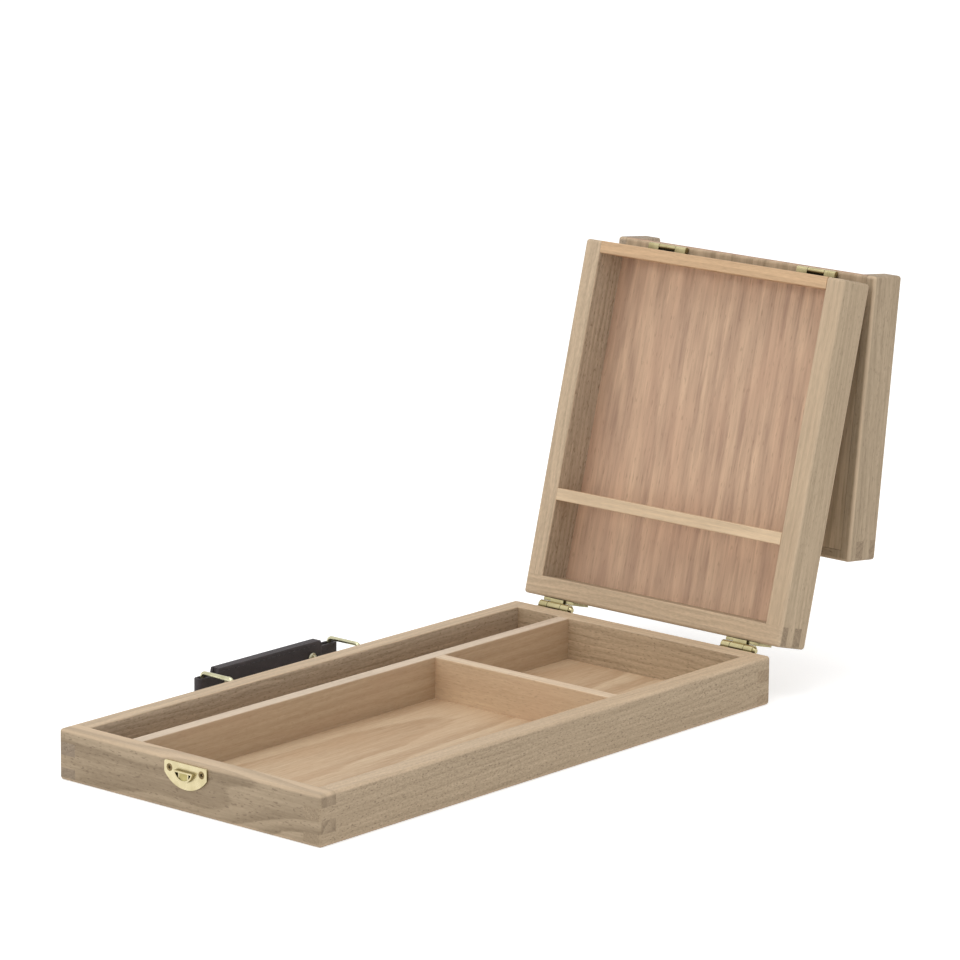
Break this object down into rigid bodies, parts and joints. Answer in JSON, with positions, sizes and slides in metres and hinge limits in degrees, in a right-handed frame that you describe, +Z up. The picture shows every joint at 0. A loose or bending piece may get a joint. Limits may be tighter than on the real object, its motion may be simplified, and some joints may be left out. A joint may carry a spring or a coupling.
{
  "type": "hinged artist's brush box",
  "caption": "Shallow finger-jointed wooden tray with compartments, a two-part folding lid with a drilled holder rail, a hasp and a leather side grip.",
  "frame": {"origin": "centre of the base's underside", "axes": "+Z up, +Y from the latch side towards the hinges, +X to the right as seen from the latch side; the handle is on the -X side"},
  "size_m": [0.2305, 0.5264, 0.2503],
  "materials": {
    "wall_wood": "bare open-grained wood, fine sanded",
    "panel_wood": "bare veneered panel",
    "floor_ply": "bare plywood, fine sanded",
    "pale_wood": "bare close-grained wood, fine sanded",
    "brass": "plated, bright",
    "bronze_screws": "darkened",
    "leather": "smooth, slightly worn"
  },
  "bodies": {
    "base": {"base_floor": "floor_ply", "base_front_wall": "wall_wood", "base_left_wall": "wall_wood", "base_rear_wall": "wall_wood", "base_right_wall": "wall_wood", "cross_divider": "pale_wood", "handle_bracket_screws": "bronze_screws", "handle_front_bracket": "brass", "handle_rear_bracket": "brass", "latch_keeper": "brass", "latch_keeper_screws": "bronze_screws", "long_divider": "pale_wood", "lower_hinge_base_screws": "bronze_screws", "lower_hinge_left_base_leaf": "brass", "lower_hinge_left_pin": "brass", "lower_hinge_right_base_leaf": "brass", "lower_hinge_right_pin": "brass"},
    "front_lid": {"front_lid_end_wall": "wall_wood", "front_lid_left_wall": "wall_wood", "front_lid_panel": "panel_wood", "front_lid_right_wall": "wall_wood", "hasp_pin": "brass", "hasp_plate": "brass", "hasp_plate_screws": "bronze_screws", "upper_hinge_front_screws": "bronze_screws", "upper_hinge_left_front_leaf": "brass", "upper_hinge_right_front_leaf": "brass"},
    "front_ring": {"handle_front_ring": "brass"},
    "grip": {"handle_grip": "leather", "handle_rivets": "brass"},
    "rear_ring": {"handle_rear_ring": "brass"},
    "hasp": {"hasp_flap": "brass"},
    "rear_lid": {"holder_rail": "pale_wood", "lower_hinge_left_lid_leaf": "brass", "lower_hinge_lid_screws": "bronze_screws", "lower_hinge_right_lid_leaf": "brass", "rear_lid_end_wall": "wall_wood", "rear_lid_left_wall": "wall_wood", "rear_lid_panel": "panel_wood", "rear_lid_right_wall": "wall_wood", "retaining_slat": "pale_wood", "upper_hinge_left_pin": "brass", "upper_hinge_left_rear_leaf": "brass", "upper_hinge_rear_screws": "bronze_screws", "upper_hinge_right_pin": "brass", "upper_hinge_right_rear_leaf": "brass"}
  },
  "joints": [
    {"name": "rear_lid_hinge", "type": "hinge", "parent": "base", "child": "rear_lid", "pos_m": [0, 0.205, 0.0292], "axis": [1, 0, 0], "range_deg": [0, 104.7]},
    {"name": "front_lid_hinge", "type": "hinge", "parent": "rear_lid", "child": "front_lid", "pos_m": [0, 0.29357, 0.24582], "axis": [1, 0, 0], "range_deg": [-9.2, 171.9]},
    {"name": "hasp_hinge", "type": "hinge", "parent": "front_lid", "child": "hasp", "pos_m": [0, 0.2979, 0.06925], "axis": [1, 0, 0], "range_deg": [-93, 83.4]},
    {"name": "front_ring_hinge", "type": "hinge", "parent": "base", "child": "front_ring", "pos_m": [-0.1015, -0.0555, 0.02], "axis": [0, 0, 1], "range_deg": [-65, 65]},
    {"name": "rear_ring_hinge", "type": "hinge", "parent": "base", "child": "rear_ring", "pos_m": [-0.1015, 0.0555, 0.02], "axis": [0, 0, 1], "range_deg": [-65, 65]},
    {"name": "grip_hinge", "type": "hinge", "parent": "front_ring", "child": "grip", "pos_m": [-0.126, -0.0555, 0.02], "axis": [0, 0, 1], "range_deg": [-65, 65]}
  ],
  "couplings": [
    {"joint": "rear_ring_hinge", "follows": "front_ring_hinge", "ratio": 1},
    {"joint": "grip_hinge", "follows": "front_ring_hinge", "ratio": -1}
  ]
}
